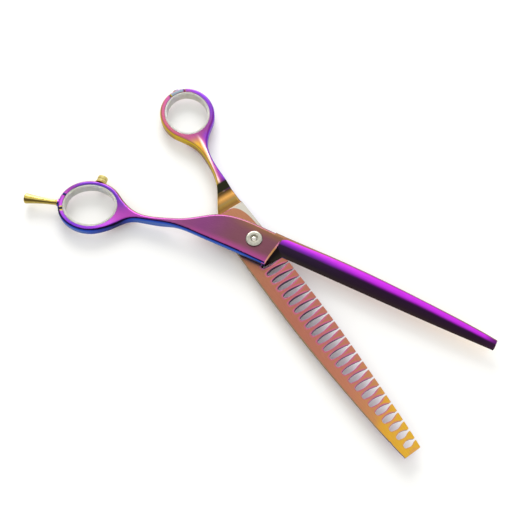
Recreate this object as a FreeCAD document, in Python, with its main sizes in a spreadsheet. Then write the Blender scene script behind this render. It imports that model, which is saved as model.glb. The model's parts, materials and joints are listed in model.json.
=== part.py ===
import FreeCAD, Part
import math
import os

import Sketcher
from FreeCAD import Placement, Rotation, Vector

# Thinning shears, in millimetres.  Every piece is drawn about the pivot axis, with the ride plane
# between the two halves at height 0 and the tips towards +X, as the closed shears lie.  Its
# placement then moves it to the part's frame and opens the toothed half to its rest angle.

SIZES = [
    # The frame: the pivot axis and the ride plane, measured from the middle of the base.
    ("pivot_x", -3.1064),
    ("pivot_y", -1.417),
    ("ride_height", 5.1),
    ("ride_gap", 0.02),
    ("open_angle", 30.0),
    # The two forged halves.
    ("block_thickness", 3.0),
    ("tip_reach", 105.0),
    ("blade_root", 7.0),
    ("tip_thickness", 1.5),
    ("root_step", 0.1),
    ("edge_land", 0.15),
    ("tooth_land", 0.6),
    ("handle_half_height", 2.25),
    ("finger_handle_round", 1.2),
    ("thumb_handle_round", 0.95),
    ("relief_depth", 0.5),
    ("front_bevel", 0.5),
    # The finger rings.
    ("ring_level", -1.1),
    ("finger_ring_x", -70.6),
    ("finger_ring_y", -15.1),
    ("finger_ring_tilt", 14.0),
    ("thumb_ring_x", -70.9),
    ("thumb_ring_y", 11.2),
    ("thumb_ring_tilt", -18.0),
    ("ring_long", 11.9),
    ("ring_short", 10.15),
    ("ring_wall", 2.1),
    ("ring_half_height", 2.1),
    ("notch_depth", 0.4),
    ("notch_offset", 3.9),
    # The soft liners.
    ("liner_wall", 1.1),
    ("liner_gap", 0.02),
    ("liner_half_height", 2.0),
    ("liner_round", 0.35),
    # The thinning teeth.
    ("tooth_pitch", 3.909),
    ("first_slot", 11.591),
    ("slot_count", 24.0),
    ("slot_mouth", 0.42),
    ("slot_belly", 1.25),
    ("parallel_reach", 44.0),
    # The finger rest and its tapped hole.
    ("rest_bearing", 197.0),
    ("spare_bearing", 170.0),
    ("tapped_radius", 1.3),
    ("bore_chamfer", 0.25),
    ("boss_radius", 1.75),
    ("boss_proud", 0.3),
    ("stud_radius", 1.25),
    ("stud_length", 2.1),
    ("rest_collar", 1.45),
    ("rest_neck", 1.15),
    ("rest_end", 2.2),
    ("rest_length", 14.6),
    # The bumper.
    ("bumper_bearing", 100.0),
    ("bumper_sink", 0.25),
    ("stem_length", 1.1),
    ("flange_thickness", 0.55),
    ("seat_play", 0.12),
    ("bumper_flange", 2.5),
    ("bumper_radius", 2.2),
    ("bumper_stem", 1.0),
    ("bumper_groove", 1.95),
    ("bumper_height", 3.5),
    # The pivot.
    ("head_radius", 3.45),
    ("head_top", 3.85),
    ("head_seat", 2.5),
    ("head_bevel", 0.45),
    ("counterbore_radius", 3.6),
    ("counterbore_floor", 2.3),
    ("sleeve_radius", 2.5),
    ("sleeve_bottom", -3.0),
    ("nut_bore", 1.6),
    ("nut_bore_floor", 2.8),
    ("thread_radius", 1.22),
    ("screw_radius", 1.2),
    ("screw_top", 3.45),
    ("screw_head_radius", 2.3),
    ("solid_hole", 2.55),
    ("toothed_hole", 3.2),
    ("bush_inner", 2.55),
    ("bush_outer", 3.18),
    ("thrust_radius", 4.7),
    ("thrust_recess", 4.8),
    ("thrust_depth", 0.35),
    ("spring_radius", 4.5),
    ("click_radius", 5.0),
    ("dial_radius", 5.7),
    ("dial_top", -3.95),
    ("dial_bottom", -5.1),
    ("dial_grips", 18.0),
]

doc = FreeCAD.newDocument("thinning_shears")
sheet = doc.addObject("Spreadsheet::Sheet", "Sizes")
for row, (alias, value) in enumerate(SIZES, start=1):
    sheet.set(f"A{row}", alias)
    sheet.set(f"B{row}", str(value))
    sheet.setAlias(f"B{row}", alias)
doc.recompute()

UP = Vector(0, 0, 1)
SOLID = "solid"
TOOTHED = "toothed"


def size(alias):
    """The value of one named cell."""
    return float(getattr(sheet, alias))


def formula(text):
    """The sheet formula and the value of a signed sum such as 'head_top - head_bevel'."""
    total = 0.0
    sign = 1
    words = []
    for word in text.split():
        if word in "+-":
            sign = 1 if word == "+" else -1
            words.append(word)
        elif word.replace(".", "").isdigit():
            total += sign * float(word)
            words.append(word)
        else:
            total += sign * size(word)
            words.append("Sizes." + word)
    return " ".join(words), total


def half_placement(half):
    """Where a half stands at rest: its pivot's place, and its opening about the pivot."""
    place = Vector(size("pivot_x"), size("pivot_y"), size("ride_height"))
    if half == SOLID:
        return Placement(place, Rotation())
    return Placement(place - UP * size("ride_gap"), Rotation(UP, -size("open_angle")))


# ---------------------------------------------------------------- curves and prisms

def spline(points, start=None, end=None):
    """A smooth edge through points, with a direction at either end where one is given."""
    curve = Part.BSplineCurve()
    if start is None and end is None:
        curve.interpolate(Points=points)
    else:
        given = [start] + [None] * (len(points) - 2) + [end]
        flags = [direction is not None for direction in given]
        directions = [direction or Vector(1, 0, 0) for direction in given]
        curve.interpolate(Points=points, Tangents=directions, TangentFlags=flags)
    return curve.toShape()


def line(first, second):
    """A straight edge."""
    return Part.LineSegment(first, second).toShape()


def ramp(first, second):
    """An S-shaped edge that leaves and arrives along X."""
    middle = (first.x + second.x) / 2
    curve = Part.BezierCurve()
    curve.setPoles([first, Vector(middle, 0, first.z), Vector(middle, 0, second.z), second])
    return curve.toShape()


def prism(edges, direction):
    """The solid that a closed outline sweeps along a direction."""
    return Part.Face(Part.Wire(edges)).extrude(direction)


def plan(x, y, z=0.0):
    """A point in the plan view."""
    return Vector(x, y, z)


def side(x, z):
    """A point in the side view."""
    return Vector(x, 0, z)


def ellipse_point(centre, tilt, long, short, angle):
    """The point and the direction of travel of a tilted ellipse at a parameter angle."""
    t = math.radians(angle)
    turn = Rotation(UP, tilt)
    point = turn.multVec(Vector(long * math.cos(t), short * math.sin(t), 0))
    travel = turn.multVec(Vector(-long * math.sin(t), short * math.cos(t), 0))
    return centre + point, travel.normalize()


def ellipse_edge(centre, tilt, long, short, start=None, end=None):
    """A tilted ellipse, whole or from one parameter angle round to another."""
    turn = Rotation(UP, tilt)
    major = centre + turn.multVec(Vector(long, 0, 0))
    minor = centre + turn.multVec(Vector(0, short, 0))
    curve = Part.Ellipse(major, minor, centre)
    if start is None:
        return curve.toShape()
    return curve.toShape(math.radians(start), math.radians(end))


def ring_centre(which):
    """The middle of a finger ring."""
    return plan(size(which + "_ring_x"), size(which + "_ring_y"), size("ring_level"))


def ring_reach(which, bearing):
    """How far a ring's outside is from its middle, in a direction given as a bearing."""
    angle = math.radians(bearing - size(which + "_ring_tilt"))
    long = size("ring_long") + size("ring_wall")
    short = size("ring_short") + size("ring_wall")
    return long * short / math.hypot(short * math.cos(angle), long * math.sin(angle))


def ring_plug(which, inset, half_height):
    """An elliptical plug the size of a ring's opening, less an inset all round."""
    edge = ellipse_edge(ring_centre(which), size(which + "_ring_tilt"),
                        size("ring_long") - inset, size("ring_short") - inset)
    plug = prism([edge], UP * (2 * half_height))
    plug.translate(UP * -half_height)
    return plug


def rounded(solid, radius, wanted):
    """Round the edges of a solid that pass a test on their middle point."""
    edges = [edge for edge in solid.Edges if wanted(edge.CenterOfMass)]
    return solid.makeFillet(radius, edges)


# ---------------------------------------------------------------- the forged halves

def handle(which, upper, lower, joins, top, bottom, end):
    """A shank and its ring: the plan outline cut to the side outline, with its edges rounded.

    upper and lower run from the block to the ring, joins are the parameter angles where they
    meet the ring, top and bottom are the side view's edges, and end closes the plan at the block.
    """
    centre = plan(size(which + "_ring_x"), size(which + "_ring_y"))
    tilt = size(which + "_ring_tilt")
    long = size("ring_long") + size("ring_wall")
    short = size("ring_short") + size("ring_wall")
    first, first_travel = ellipse_point(centre, tilt, long, short, joins[0])
    last, last_travel = ellipse_point(centre, tilt, long, short, joins[1])
    outline = [
        spline(upper + [first], end=first_travel),
        ellipse_edge(centre, tilt, long, short, joins[0], joins[1]),
        spline([last] + lower[::-1], start=last_travel),
    ]
    stops = [lower[0]] + end + [upper[0]]
    outline += [line(a, b) for a, b in zip(stops, stops[1:])]
    depth = 2 * size("tip_reach")
    plan_solid = prism(outline, UP * 20)
    plan_solid.translate(UP * -10)
    side_solid = prism(top + bottom, Vector(0, depth, 0))
    side_solid.translate(Vector(0, -depth / 2, 0))
    return plan_solid.common(side_solid)


def section(x, spine, edge, crease_share, spine_z, land):
    """One cross-section of a blade: flat ride face, square spine, and a curved outer face."""
    soft = 0.35
    fullness = 0.86
    corner = soft if spine_z > 0 else -soft
    inward = soft if edge > spine else -soft
    crease = spine + (edge - spine) * crease_share
    ride_edge = Vector(x, edge, 0)
    ride_spine = Vector(x, spine, 0)
    side_top = Vector(x, spine, spine_z - corner)
    spine_top = Vector(x, spine + inward, spine_z)
    edge_top = Vector(x, edge, land)
    outer = spline([spine_top, Vector(x, crease, spine_z * fullness), edge_top])
    return Part.Wire([line(ride_edge, ride_spine), line(ride_spine, side_top),
                      line(side_top, spine_top), outer, line(edge_top, ride_edge)])


def block_front():
    """Where the solid block ends, from its lower corner up: height, brow and foot of its front."""
    return [(-8.4, 8.8, 9.0), (-6.2, 9.0, 10.3), (-4.0, 9.2, 12.0), (-1.3, 9.6, 13.6), (0.8, 9.95, 14.0)]


def front_slope():
    """The hollow-ground face that falls from the block's front edge to the ride plane."""
    brow_z = size("block_thickness") - size("front_bevel")
    overlap = 1.5
    wires = []
    for y, brow, foot in block_front():
        back = brow - overlap
        corners = [Vector(back, y, 0), Vector(back, y, brow_z), Vector(brow, y, brow_z),
                   Vector(foot, y, size("edge_land")), Vector(foot, y, 0)]
        wires.append(Part.makePolygon(corners + corners[:1]))
    return Part.makeLoft(wires, True, True)


def front_bevel_cut():
    """The wedge that bevels the block's front edge."""
    thick = size("block_thickness")
    bevel = size("front_bevel")
    brows = [(-9.4, 8.7)] + [(y, brow) for y, brow, _ in block_front()] + [(3.5, 10.5), (5.2, 10.9)]
    wires = []
    for y, brow in brows:
        corners = [Vector(brow - bevel, y, thick), Vector(brow + bevel, y, thick - 2 * bevel),
                   Vector(brow + bevel, y, thick + bevel), Vector(brow - bevel, y, thick + bevel)]
        wires.append(Part.makePolygon(corners + corners[:1]))
    return Part.makeLoft(wires, True, True)


def solid_blade():
    """The cutting half: finger ring, shank, pivot block and plain blade, above the ride plane."""
    thick = size("block_thickness")
    level = size("ring_level")
    half = size("ring_half_height")
    neck = size("handle_half_height")
    upper = [plan(11.2, 6.8), plan(0, 6.9), plan(-12, 6.4), plan(-19, 4.2), plan(-30, -3.1),
             plan(-40, -7.1), plan(-52, -9.0)]
    lower = [plan(8.8, -8.4), plan(-6, -8.2), plan(-20, -8.3), plan(-34, -8.8), plan(-46, -11.4),
             plan(-52, -13.6), plan(-57.2, -19.6)]
    end = [plan(9.2, -4), plan(9.8, 0), plan(10.5, 3.5)]
    top = [line(side(20, thick), side(-24, thick)),
           ramp(side(-24, thick), side(-56, level + half)),
           line(side(-56, level + half), side(-90, level + half)),
           line(side(-90, level + half), side(-90, level - half))]
    bottom = [line(side(-90, level - half), side(-56, level - half)),
              ramp(side(-56, level - half), side(-44, level - neck)),
              ramp(side(-44, level - neck), side(-27, 0)), line(side(-27, 0), side(20, 0)),
              line(side(20, 0), side(20, thick))]
    body = handle("finger", upper, lower, (40, 298), top, bottom, end)
    body = rounded(body, size("finger_handle_round"),
                   lambda c: c.z > 0 and c.x < 8 and abs(c.y) > 0.1 or c.z < -0.1)
    body = finish_ring(body, "finger", size("rest_bearing"))
    body = body.cut(front_bevel_cut())

    # The blade: its spine and edge lines, and how far its thickness has tapered, root to tip.
    tip = size("tip_thickness")
    full = thick - size("root_step")
    root = size("blade_root")
    stations = [(root, 6.8, -1.3, 1.0), (30, 6.7, -1.6, 0.97), (50, 6.35, -1.8, 0.85),
                (70, 5.3, -2.0, 0.65), (90, 3.9, -2.0, 0.35), (106, 2.1, -1.9, 0.0)]
    wires = []
    for x, spine, edge, taper in stations:
        height = tip + (full - tip) * taper
        wires.append(section(x, spine, edge, 0.6, height, size("edge_land")))
    blade = Part.makeLoft(wires, True).common(tip_blank(3.2, -2.4))
    body = body.fuse([front_slope(), blade])

    top_bore = Part.makeCylinder(size("counterbore_radius"), 2, plan(0, 0, size("counterbore_floor")))
    hole = Part.makeCylinder(size("solid_hole"), 10, plan(0, 0, -5))
    recess = Part.makeCylinder(size("thrust_recess"), 2, plan(0, 0, size("thrust_depth") - 2))
    body = body.cut([top_bore, hole, recess, stem_hole()])
    return body.removeSplitter()


def toothed_blade():
    """The thinning half: thumb ring, shank, pivot block and toothed blade, below the ride plane."""
    thick = size("block_thickness")
    level = size("ring_level")
    half = size("ring_half_height")
    neck = size("handle_half_height")
    relief = -size("relief_depth")
    upper = [plan(12, 6.9), plan(-3, 6.9), plan(-20, 6.6), plan(-34, 6.8), plan(-46, 7.9),
             plan(-53, 10.7)]
    lower = [plan(12, -8.5), plan(4, -8.5), plan(-4, -8.4), plan(-11, -7.9), plan(-16, -6.8),
             plan(-21, -4.6), plan(-27, -0.9), plan(-32, 2.0), plan(-38, 4.0), plan(-46, 5.1),
             plan(-53, 4.9)]
    top = [line(side(20, 0), side(-18.5, 0)), line(side(-18.5, 0), side(-19.2, relief)),
           line(side(-19.2, relief), side(-26, relief)),
           ramp(side(-26, relief), side(-33, level + neck)),
           line(side(-33, level + neck), side(-46, level + neck)),
           ramp(side(-46, level + neck), side(-56, level + half)),
           line(side(-56, level + half), side(-90, level + half)),
           line(side(-90, level + half), side(-90, level - half))]
    bottom = [line(side(-90, level - half), side(-56, level - half)),
              ramp(side(-56, level - half), side(-44, level - neck)),
              ramp(side(-44, level - neck), side(-24, -thick)),
              line(side(-24, -thick), side(20, -thick)), line(side(20, -thick), side(20, 0))]
    body = handle("thumb", upper, lower, (52, 318), top, bottom, [])
    body = rounded(body, size("thumb_handle_round"),
                   lambda c: c.z < -1 and c.x < 11 or c.z > 0.1)
    body = finish_ring(body, "thumb", size("spare_bearing"))

    # The blade: its spine and tooth lines, and how far its thickness has tapered, root to tip.
    tip = size("tip_thickness")
    full = thick - size("root_step")
    root = size("blade_root")
    stations = [(root, -8.5, 6.9, 1.0), (30, -8.4, 6.9, 0.97), (50, -7.9, 6.7, 0.85),
                (70, -6.8, 5.9, 0.65), (90, -5.3, 4.85, 0.35), (106, -3.4, 3.4, 0.0)]
    wires = []
    for x, spine, edge, taper in stations:
        depth = tip + (full - tip) * taper
        wires.append(section(x, spine, edge, 0.45, -depth, -size("tooth_land")))
    blade = Part.makeLoft(wires, True).common(tip_blank(4.2, -4.4))
    hole = Part.makeCylinder(size("toothed_hole"), 10, plan(0, 0, -5))
    slots = [thinning_slot(index) for index in range(int(size("slot_count")))]
    body = body.fuse(blade).cut([hole] + slots)
    return body.removeSplitter()


def tip_blank(high, low):
    """A long plate with rounded corners, which gives a blade its blunt tip."""
    reach = size("tip_reach")
    soft = 1.2
    eased = soft * (1 - math.sqrt(0.5))
    back = reach - 8
    wide = 20
    low_corner = Part.Arc(plan(reach - soft, low), plan(reach - eased, low + eased),
                          plan(reach, low + soft)).toShape()
    high_corner = Part.Arc(plan(reach, high - soft), plan(reach - eased, high - eased),
                           plan(reach - soft, high)).toShape()
    outline = [line(plan(0, -wide), plan(back, -wide)), line(plan(back, -wide), plan(back, low)),
               line(plan(back, low), plan(reach - soft, low)), low_corner,
               line(plan(reach, low + soft), plan(reach, high - soft)), high_corner,
               line(plan(reach - soft, high), plan(back, high)), line(plan(back, high), plan(back, wide)),
               line(plan(back, wide), plan(0, wide)), line(plan(0, wide), plan(0, -wide))]
    blank = prism(outline, UP * 20)
    blank.translate(UP * -10)
    return blank


def narrowing(x, length, power):
    """How far the blade has narrowed past its parallel part, from 0 up to 1 at a length beyond."""
    return max(x - size("parallel_reach"), 0) ** power / length ** power


def tooth_line(x):
    """How high the tooth tips stand at a distance along the blade."""
    return 6.9 - 3.3 * narrowing(x, 60, 1.45)


def slot_floor(x):
    """How low a slot's round end reaches at a distance along the blade."""
    return -4.1 + 2.6 * narrowing(x, 57.7, 1.6)


def thinning_slot(index):
    """One almond-shaped slot between two thinning teeth, wide inside and narrow at its mouth."""
    x = size("first_slot") + index * size("tooth_pitch")
    mouth = size("slot_mouth")
    belly = size("slot_belly")
    high = tooth_line(x)
    low = slot_floor(x)
    reach = high - low
    waist = low + reach * 0.48
    foot = low + belly * 0.75
    right = [plan(x + mouth, high + 1), plan(x + mouth, high - reach * 0.12),
             plan(x + belly, waist), plan(x + belly * 0.78, foot), plan(x, low)]
    left = [plan(2 * x - point.x, point.y) for point in right]
    down = Vector(0, -1, 0)
    across = Vector(-1, 0, 0)
    outline = [spline(right, down, across), spline(left[::-1], across, -down),
               line(left[0], right[0])]
    slot = prism(outline, UP * 10)
    slot.translate(UP * -6)
    return slot


def bearing(which, degrees):
    """The point where a bearing from a ring's middle leaves its outside, and its direction."""
    angle = math.radians(degrees)
    outward = Vector(math.cos(angle), math.sin(angle), 0)
    return ring_centre(which) + outward * ring_reach(which, degrees), outward


def finish_ring(body, which, degrees):
    """Open a ring, give it the tapped boss of a finger rest, and nick its rim on either side."""
    rim, outward = bearing(which, degrees)
    rooted = size("ring_wall") * 0.6
    boss = Part.makeCylinder(size("boss_radius"), rooted + size("boss_proud"),
                             rim - outward * rooted, outward)
    body = body.fuse(boss)
    body = body.cut(ring_plug(which, 0, 6))
    inner = 5
    bore = size("tapped_radius")
    tapped = Part.makeCylinder(bore, inner + 3, rim - outward * inner, outward)
    mouth = size("bore_chamfer")
    wall = size("ring_wall")
    chamfer = Part.makeCone(bore + 2 * mouth, bore, 2 * mouth, rim - outward * (wall + mouth), outward)
    body = body.cut([tapped, chamfer] + ring_notches(which, degrees))
    return body


def ring_notches(which, degrees):
    """The V cuts across a ring's top, bottom and outside, either side of the finger rest."""
    depth = size("notch_depth")
    cuts = []
    for turn in (-1, 1):
        spread = math.degrees(size("notch_offset") / ring_reach(which, degrees))
        rim, outward = bearing(which, degrees + turn * spread)
        heading = math.degrees(math.atan2(outward.y, outward.x))
        for level in (-size("ring_half_height"), size("ring_half_height")):
            bar = Part.makeBox(8, 2 * depth, 2 * depth, Vector(-5, -depth, -depth))
            bar.rotate(Vector(), Vector(1, 0, 0), 45)
            bar.rotate(Vector(), UP, heading)
            bar.translate(rim + UP * level)
            cuts.append(bar)
        post = Part.makeBox(2 * depth, 2 * depth, 8, Vector(-depth, -depth, -4))
        post.rotate(Vector(), UP, 45)
        post.rotate(Vector(), UP, heading)
        post.translate(rim + outward * 0.1)
        cuts.append(post)
    return cuts


def bumper_seat():
    """Where the bumper's flange sits on the finger ring, and the way that the bumper points."""
    rim, outward = bearing("finger", size("bumper_bearing"))
    return rim - outward * size("bumper_sink"), outward


def stem_hole():
    """The blind hole for the bumper's stem and the flat that its flange sits on."""
    seat, outward = bumper_seat()
    depth = size("stem_length") + size("seat_play")
    clear = 3
    stem = Part.makeCylinder(size("bumper_stem"), clear + depth, seat - outward * depth, outward)
    flat = Part.makeCylinder(size("bumper_flange") + size("seat_play"), clear, seat, outward)
    return Part.makeCompound([stem, flat])


def ring_liner(which):
    """A soft liner for a ring: an elliptical tube with rounded edges."""
    gap = size("liner_gap")
    tube = ring_plug(which, gap, size("liner_half_height"))
    tube = tube.cut(ring_plug(which, gap + size("liner_wall"), 6))
    level = size("ring_level")
    rims = [level - size("liner_half_height"), level + size("liner_half_height")]
    edges = [edge for edge in tube.Edges
             if any(abs(edge.CenterOfMass.z - rim) < 0.01 for rim in rims)]
    return tube.makeFillet(size("liner_round"), edges)


def shaped(name, shape, half):
    """Put a hand-built shape in the document as a named sub-part of a half."""
    feature = doc.addObject("Part::Feature", name)
    feature.Label = name
    feature.Shape = shape
    feature.Placement = half_placement(half)
    return feature


# ---------------------------------------------------------------- turned pieces

def origin_plane(body, role):
    """One of a body's own origin planes."""
    return next(plane for plane in body.Origin.OriginFeatures if plane.Role == role)


def new_sketch(body, name, role):
    """A sketch on one of a body's own origin planes."""
    sketch = body.newObject("Sketcher::SketchObject", name)
    sketch.AttachmentSupport = [(origin_plane(body, role), "")]
    sketch.MapMode = "FlatFace"
    return sketch


def turned(name, profile):
    """A body turned about its own Z axis from a closed profile of (radius, height) formulas."""
    body = doc.addObject("PartDesign::Body", name)
    body.Label = name
    sketch = new_sketch(body, name + "_profile", "XZ_Plane")
    corners = [(formula(radius), formula(height)) for radius, height in profile]
    places = [Vector(radius[1], height[1], 0) for radius, height in corners]
    for first, second in zip(places, places[1:] + places[:1]):
        sketch.addGeometry(Part.LineSegment(first, second), False)
    count = len(places)
    for index in range(count):
        sketch.addConstraint(Sketcher.Constraint("Coincident", index, 2, (index + 1) % count, 1))
    for index, pair in enumerate(corners):
        for kind, (text, value) in zip(("DistanceX", "DistanceY"), pair):
            number = sketch.addConstraint(Sketcher.Constraint(kind, -1, 1, index, 1, value))
            sketch.setExpression(f"Constraints[{number}]", text)
    spin = body.newObject("PartDesign::Revolution", name + "_turn")
    spin.Profile = sketch
    spin.ReferenceAxis = (sketch, ["V_Axis"])
    spin.Angle = 360
    doc.recompute()
    return body


def drilled(body, name, radius, offset, depth_from, depth, count):
    """A round pocket at a radius about a body's axis, repeated evenly round it."""
    sketch = new_sketch(body, name + "_circle", "XY_Plane")
    sketch.AttachmentOffset = Placement(Vector(0, 0, depth_from), Rotation())
    sketch.addGeometry(Part.Circle(Vector(offset, 0, 0), UP, radius), False)
    pocket = body.newObject("PartDesign::Pocket", name)
    pocket.Profile = sketch
    pocket.Length = depth
    pocket.Reversed = True
    doc.recompute()
    if count > 1:
        ring = body.newObject("PartDesign::PolarPattern", name + "_ring")
        ring.Originals = [pocket]
        ring.Axis = (origin_axis(body, "Z_Axis"), [""])
        ring.Angle = 360
        ring.Occurrences = count
        body.Tip = ring
        doc.recompute()
    return body


def origin_axis(body, role):
    """One of a body's own origin axes."""
    return next(axis for axis in body.Origin.OriginFeatures if axis.Role == role)


def slotted(body, name, width, length, level, depth):
    """A straight slot cut up into a body's underside, across its axis."""
    sketch = new_sketch(body, name + "_outline", "XY_Plane")
    sketch.AttachmentOffset = Placement(Vector(0, 0, level), Rotation())
    corners = [Vector(sx * length / 2, sy * width / 2, 0)
               for sx, sy in ((-1, -1), (1, -1), (1, 1), (-1, 1))]
    for first, second in zip(corners, corners[1:] + corners[:1]):
        sketch.addGeometry(Part.LineSegment(first, second), False)
    pocket = body.newObject("PartDesign::Pocket", name)
    pocket.Profile = sketch
    pocket.Length = depth
    pocket.Reversed = True
    doc.recompute()
    return body


# ---------------------------------------------------------------- the assembly

def place(body, half, local=None):
    """Set a turned piece on a half, in its own place there if it has one."""
    body.Placement = half_placement(half) * (local or Placement())
    return body


def make_pivot():
    """The nut seen from above, its screw, and the bush, washers and dial that set the tension."""
    nut = turned("pivot_nut", [
        ("thread_radius", "sleeve_bottom"), ("sleeve_radius", "sleeve_bottom"),
        ("sleeve_radius", "head_seat"), ("head_radius", "head_seat"),
        ("head_radius", "head_top - head_bevel"), ("head_radius - head_bevel", "head_top"),
        ("nut_bore", "head_top"), ("nut_bore", "nut_bore_floor"), ("thread_radius", "nut_bore_floor")])
    head_washer = turned("head_washer", [
        ("sleeve_radius + 0.1", "counterbore_floor"), ("counterbore_radius - 0.1", "counterbore_floor"),
        ("counterbore_radius - 0.1", "head_seat"), ("sleeve_radius + 0.1", "head_seat")])
    thrust_washer = turned("thrust_washer", [
        ("sleeve_radius + 0.1", "0.02"), ("thrust_radius", "0.02"),
        ("thrust_radius", "thrust_depth - 0.02"), ("sleeve_radius + 0.1", "thrust_depth - 0.02")])
    screw = turned("pivot_screw", [
        ("0", "dial_bottom + 0.1"), ("screw_head_radius", "dial_bottom + 0.1"),
        ("screw_head_radius", "dial_top - 0.37"), ("screw_radius", "dial_top - 0.37"),
        ("screw_radius", "screw_top - 0.5"), ("screw_radius - 0.3", "screw_top - 0.15"),
        ("screw_radius - 0.7", "screw_top"), ("0", "screw_top")])
    slotted(screw, "driver_slot", 0.5, 6.0, size("dial_bottom"), 0.5)
    for piece in (nut, head_washer, thrust_washer, screw):
        place(piece, SOLID)
    bush = turned("pivot_bush", [
        ("bush_inner", "0.05 - block_thickness"), ("bush_outer", "0.05 - block_thickness"),
        ("bush_outer", "0 - 0.05"), ("bush_inner", "0 - 0.05")])
    spring = turned("spring_washer", [
        ("screw_radius + 0.2", "0 - block_thickness - 0.3"), ("spring_radius", "dial_top + 0.25"),
        ("spring_radius", "dial_top + 0.5"), ("screw_radius + 0.2", "0 - block_thickness - 0.05")])
    click = turned("click_plate", [
        ("screw_radius + 0.2", "dial_top + 0.03"), ("click_radius", "dial_top + 0.03"),
        ("click_radius", "dial_top + 0.23"), ("screw_radius + 0.2", "dial_top + 0.23")])
    drilled(click, "click_dimples", 0.4, 4.2, size("dial_top") - 0.1, 1.0, 12)
    for piece in (bush, spring, click):
        place(piece, TOOTHED)
    dial = turned("tension_dial", [
        ("screw_radius + 0.2", "dial_top"), ("screw_radius + 0.2", "dial_top - 0.35"),
        ("screw_head_radius + 0.15", "dial_top - 0.35"), ("screw_head_radius + 0.15", "dial_bottom"),
        ("dial_radius - 0.4", "dial_bottom"), ("dial_radius", "dial_bottom + 0.4"),
        ("dial_radius", "dial_top")])
    drilled(dial, "dial_grips", 0.5, size("dial_radius") + 0.15, size("dial_bottom") - 1, 3.0,
            int(size("dial_grips")))
    place(dial, SOLID)
    return [nut, head_washer, thrust_washer, screw, bush, spring, click, dial]


def make_finger_rest():
    """The horn that screws into the finger ring, with its stud inside the boss."""
    rest = turned("finger_rest", [
        ("0", "0 - stud_length"), ("stud_radius", "0 - stud_length"), ("stud_radius", "0"),
        ("rest_collar", "0"),
        ("rest_collar", "0.6"), ("rest_neck", "1.3"), ("rest_end - 0.45", "rest_length - 4"),
        ("rest_end", "rest_length - 0.6"), ("rest_end - 0.3", "rest_length"),
        ("rest_end - 0.8", "rest_length"), ("0", "rest_length - 0.5")])
    rim, outward = bearing("finger", size("rest_bearing"))
    local = Placement(rim + outward * size("boss_proud"), Rotation(UP, outward))
    return place(rest, SOLID, local)


def make_bumper():
    """The stop between the rings: a metal seat with a stem, and the soft cap pushed over it."""
    seat = turned("bumper_seat", [
        ("0", "0 - stem_length"), ("bumper_stem - 0.05", "0 - stem_length"),
        ("bumper_stem - 0.05", "0"), ("bumper_flange", "0"), ("bumper_flange", "flange_thickness"),
        ("bumper_stem", "flange_thickness"), ("bumper_stem", "2"), ("0", "2")])
    cap = turned("bumper_cap", [
        ("bumper_stem + 0.03", "flange_thickness + 0.02"),
        ("bumper_radius", "flange_thickness + 0.02"), ("bumper_radius", "1.5"),
        ("bumper_groove", "1.6"), ("bumper_groove", "1.85"), ("bumper_radius", "1.95"),
        ("bumper_radius", "bumper_height - 0.4"), ("bumper_radius - 0.4", "bumper_height"),
        ("0", "bumper_height"), ("0", "2.05"), ("bumper_stem + 0.03", "2.05")])
    middle, outward = bumper_seat()
    local = Placement(middle, Rotation(UP, outward))
    return [place(seat, SOLID, local), place(cap, SOLID, local)]


pieces = [
    shaped("solid_blade", solid_blade(), SOLID),
    shaped("toothed_blade", toothed_blade(), TOOTHED),
    shaped("finger_ring_liner", ring_liner("finger"), SOLID),
    shaped("thumb_ring_liner", ring_liner("thumb"), TOOTHED),
]
pieces += make_pivot()
pieces.append(make_finger_rest())
pieces += make_bumper()
doc.recompute()

for thing in doc.Objects:
    faults = {"Invalid", "Error"} & set(thing.State)
    if faults:
        raise RuntimeError(f"{thing.Label} did not rebuild: {faults}")
for piece in pieces:
    if piece.Shape.isNull() or not piece.Shape.isValid():
        raise RuntimeError(f"{piece.Label} has no sound shape")

os.makedirs("parts", exist_ok=True)
whole = Part.makeCompound([piece.Shape for piece in pieces])
for piece in pieces:
    piece.Shape.exportStep(f"parts/{piece.Label}.step")
    print(f"{piece.Label}: {len(piece.Shape.Solids)} solid, {piece.Shape.Volume:.1f} mm3")
print("bounds", whole.BoundBox)
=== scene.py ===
"""Thinning shears with a rainbow coating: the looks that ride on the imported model."""

import json
import logging
import math
from dataclasses import dataclass, field
from enum import Enum

import bmesh
import bpy
from mathutils import Matrix, Vector


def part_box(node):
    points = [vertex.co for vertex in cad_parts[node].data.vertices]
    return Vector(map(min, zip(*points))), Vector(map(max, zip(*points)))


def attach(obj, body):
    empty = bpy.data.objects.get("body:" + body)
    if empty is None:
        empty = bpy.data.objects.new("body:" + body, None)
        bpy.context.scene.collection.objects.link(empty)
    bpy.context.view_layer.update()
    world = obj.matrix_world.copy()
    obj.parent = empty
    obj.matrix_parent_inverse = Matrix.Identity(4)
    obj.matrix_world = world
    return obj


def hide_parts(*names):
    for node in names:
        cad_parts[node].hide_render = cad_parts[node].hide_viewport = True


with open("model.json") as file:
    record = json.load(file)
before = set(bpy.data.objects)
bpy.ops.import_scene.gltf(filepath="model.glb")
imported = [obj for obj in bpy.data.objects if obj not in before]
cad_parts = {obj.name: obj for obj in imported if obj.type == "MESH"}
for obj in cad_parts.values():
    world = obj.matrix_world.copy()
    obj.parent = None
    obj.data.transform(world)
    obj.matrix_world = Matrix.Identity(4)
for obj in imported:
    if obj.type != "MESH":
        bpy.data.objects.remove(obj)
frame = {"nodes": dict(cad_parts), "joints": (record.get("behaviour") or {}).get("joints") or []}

LOG = logging.getLogger("thinning_shears")
MM = 0.001
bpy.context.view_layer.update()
Colour = tuple[float, float, float]
Stop = tuple[float, Colour]


class Body(Enum):
    """The bodies that pieces ride on."""

    FINGER = "finger_half"
    THUMB = "thumb_half"
    DIAL = "dial"
    HORN = "horn"


class Slot(Enum):
    """The record's material slots that remade pieces ask for."""

    BRIGHT = "bright_steel"
    GOLD = "gold_steel"
    CAP = "bumper_plastic"


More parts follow.
